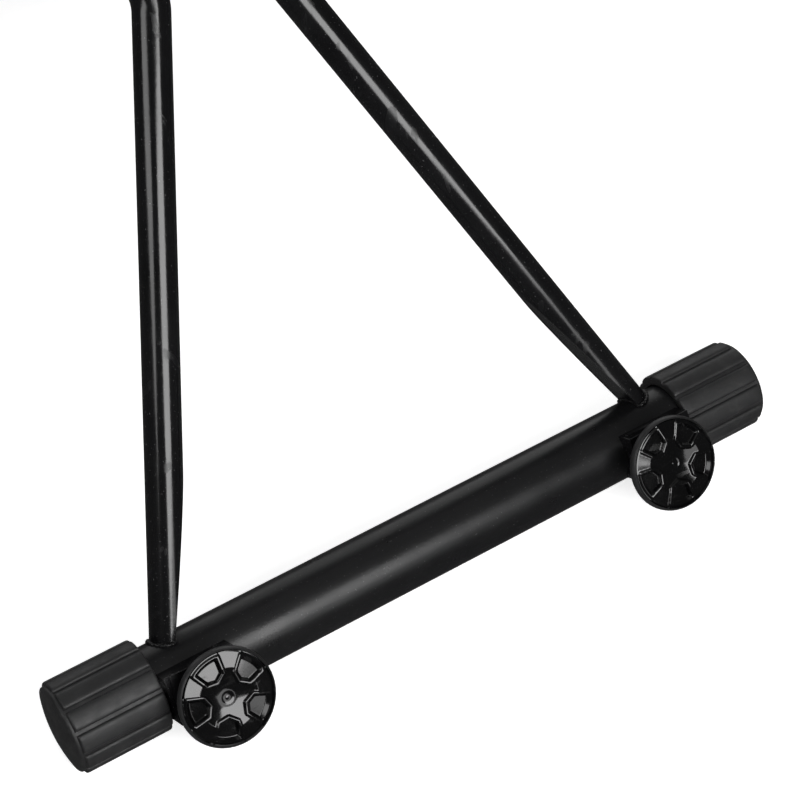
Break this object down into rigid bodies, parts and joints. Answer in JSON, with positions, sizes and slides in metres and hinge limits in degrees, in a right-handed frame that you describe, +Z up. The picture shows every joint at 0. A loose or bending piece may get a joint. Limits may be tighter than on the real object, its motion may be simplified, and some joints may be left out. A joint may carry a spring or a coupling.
{
  "type": "folding music keyboard stand",
  "caption": "Folding X stand of black tubular steel: two tapering leg frames crossed on one pivot bolt, ribbed rubber end caps on the bars and round hand screws on the foot bars.",
  "frame": {"origin": "on the floor, midway between the two foot bars and between the bars' ends", "axes": "+Z up, +Y along the bars, +X towards the outer frame's foot bar"},
  "size_m": [0.6649, 0.4216, 0.7556],
  "materials": {
    "bar_satin": "satin black powder coat",
    "strut_gloss": "glossy black",
    "rubber": "matte",
    "knob_satin": "satin",
    "knob_gloss": "gloss",
    "zinc": "zinc plated",
    "nylon": "matte"
  },
  "bodies": {
    "outer_frame": {"outer_foot_bar": "bar_satin", "outer_top_bar": "bar_satin", "outer_strut_left": "strut_gloss", "outer_strut_right": "strut_gloss", "outer_foot_cap_left": "rubber", "outer_foot_cap_right": "rubber", "outer_top_cap_left": "rubber", "outer_top_cap_right": "rubber", "outer_weld_beads": "bar_satin", "outer_knob_bosses": "strut_gloss", "pivot_bolt": "zinc", "pivot_saddles": "bar_satin", "pivot_friction_discs": "nylon"},
    "inner_frame": {"inner_foot_bar": "bar_satin", "inner_top_bar": "bar_satin", "inner_strut_left": "strut_gloss", "inner_strut_right": "strut_gloss", "inner_foot_cap_left": "rubber", "inner_foot_cap_right": "rubber", "inner_top_cap_left": "rubber", "inner_top_cap_right": "rubber", "inner_weld_beads": "bar_satin", "inner_knob_bosses": "strut_gloss", "pivot_bushes": "nylon"},
    "outer_left_knob_washer": {"outer_left_knob_washer": "zinc"},
    "outer_left_knob": {"outer_left_knob_skirt": "knob_satin", "outer_left_knob_face": "knob_gloss", "outer_left_knob_stud": "zinc"},
    "outer_right_knob_washer": {"outer_right_knob_washer": "zinc"},
    "outer_right_knob": {"outer_right_knob_skirt": "knob_satin", "outer_right_knob_face": "knob_gloss", "outer_right_knob_stud": "zinc"},
    "inner_left_knob_washer": {"inner_left_knob_washer": "zinc"},
    "inner_left_knob": {"inner_left_knob_skirt": "knob_satin", "inner_left_knob_face": "knob_gloss", "inner_left_knob_stud": "zinc"},
    "inner_right_knob_washer": {"inner_right_knob_washer": "zinc"},
    "inner_right_knob": {"inner_right_knob_skirt": "knob_satin", "inner_right_knob_face": "knob_gloss", "inner_right_knob_stud": "zinc"},
    "pivot_knob_washer": {"pivot_knob_washer": "zinc"},
    "pivot_knob": {"pivot_knob_skirt": "knob_satin", "pivot_knob_face": "knob_gloss"}
  },
  "joints": [
    {"name": "fold", "type": "hinge", "parent": "outer_frame", "child": "inner_frame", "pos_m": [0, 0, 0.3778], "axis": [0, -1, 0], "range_deg": [-20, 68]},
    {"name": "outer_left_knob_travel", "type": "slide", "parent": "outer_frame", "child": "outer_left_knob_washer", "axis": [0.7848, 0, 0.6198], "range_m": [0, 0.00375]},
    {"name": "outer_left_knob_turn", "type": "hinge", "parent": "outer_left_knob_washer", "child": "outer_left_knob", "pos_m": [0.31335, -0.1342, 0.03911], "axis": [0.7848, 0, 0.6198], "range_deg": [0, 1082]},
    {"name": "outer_right_knob_travel", "type": "slide", "parent": "outer_frame", "child": "outer_right_knob_washer", "axis": [0.7848, 0, 0.6198], "range_m": [0, 0.00375]},
    {"name": "outer_right_knob_turn", "type": "hinge", "parent": "outer_right_knob_washer", "child": "outer_right_knob", "pos_m": [0.31335, 0.1342, 0.03911], "axis": [0.7848, 0, 0.6198], "range_deg": [0, 1082]},
    {"name": "inner_left_knob_travel", "type": "slide", "parent": "inner_frame", "child": "inner_left_knob_washer", "axis": [-0.7848, 0, 0.6198], "range_m": [0, 0.00375]},
    {"name": "inner_left_knob_turn", "type": "hinge", "parent": "inner_left_knob_washer", "child": "inner_left_knob", "pos_m": [-0.31335, 0.1342, 0.03911], "axis": [-0.7848, 0, 0.6198], "range_deg": [0, 1082]},
    {"name": "inner_right_knob_travel", "type": "slide", "parent": "inner_frame", "child": "inner_right_knob_washer", "axis": [-0.7848, 0, 0.6198], "range_m": [0, 0.00375]},
    {"name": "inner_right_knob_turn", "type": "hinge", "parent": "inner_right_knob_washer", "child": "inner_right_knob", "pos_m": [-0.31335, -0.1342, 0.03911], "axis": [-0.7848, 0, 0.6198], "range_deg": [0, 1082]},
    {"name": "pivot_knob_travel", "type": "slide", "parent": "outer_frame", "child": "pivot_knob_washer", "axis": [0, 1, 0], "range_m": [0, 0.003]},
    {"name": "pivot_knob_turn", "type": "hinge", "parent": "pivot_knob_washer", "child": "pivot_knob", "pos_m": [0, 0.055, 0.3778], "axis": [0, 1, 0], "range_deg": [0, 722]}
  ],
  "couplings": [
    {"joint": "outer_left_knob_turn", "follows": "outer_left_knob_travel", "rad_per_m": 5026.5},
    {"joint": "outer_right_knob_turn", "follows": "outer_right_knob_travel", "rad_per_m": 5026.5},
    {"joint": "inner_left_knob_turn", "follows": "inner_left_knob_travel", "rad_per_m": 5026.5},
    {"joint": "inner_right_knob_turn", "follows": "inner_right_knob_travel", "rad_per_m": 5026.5},
    {"joint": "pivot_knob_turn", "follows": "pivot_knob_travel", "rad_per_m": 4188.8}
  ]
}
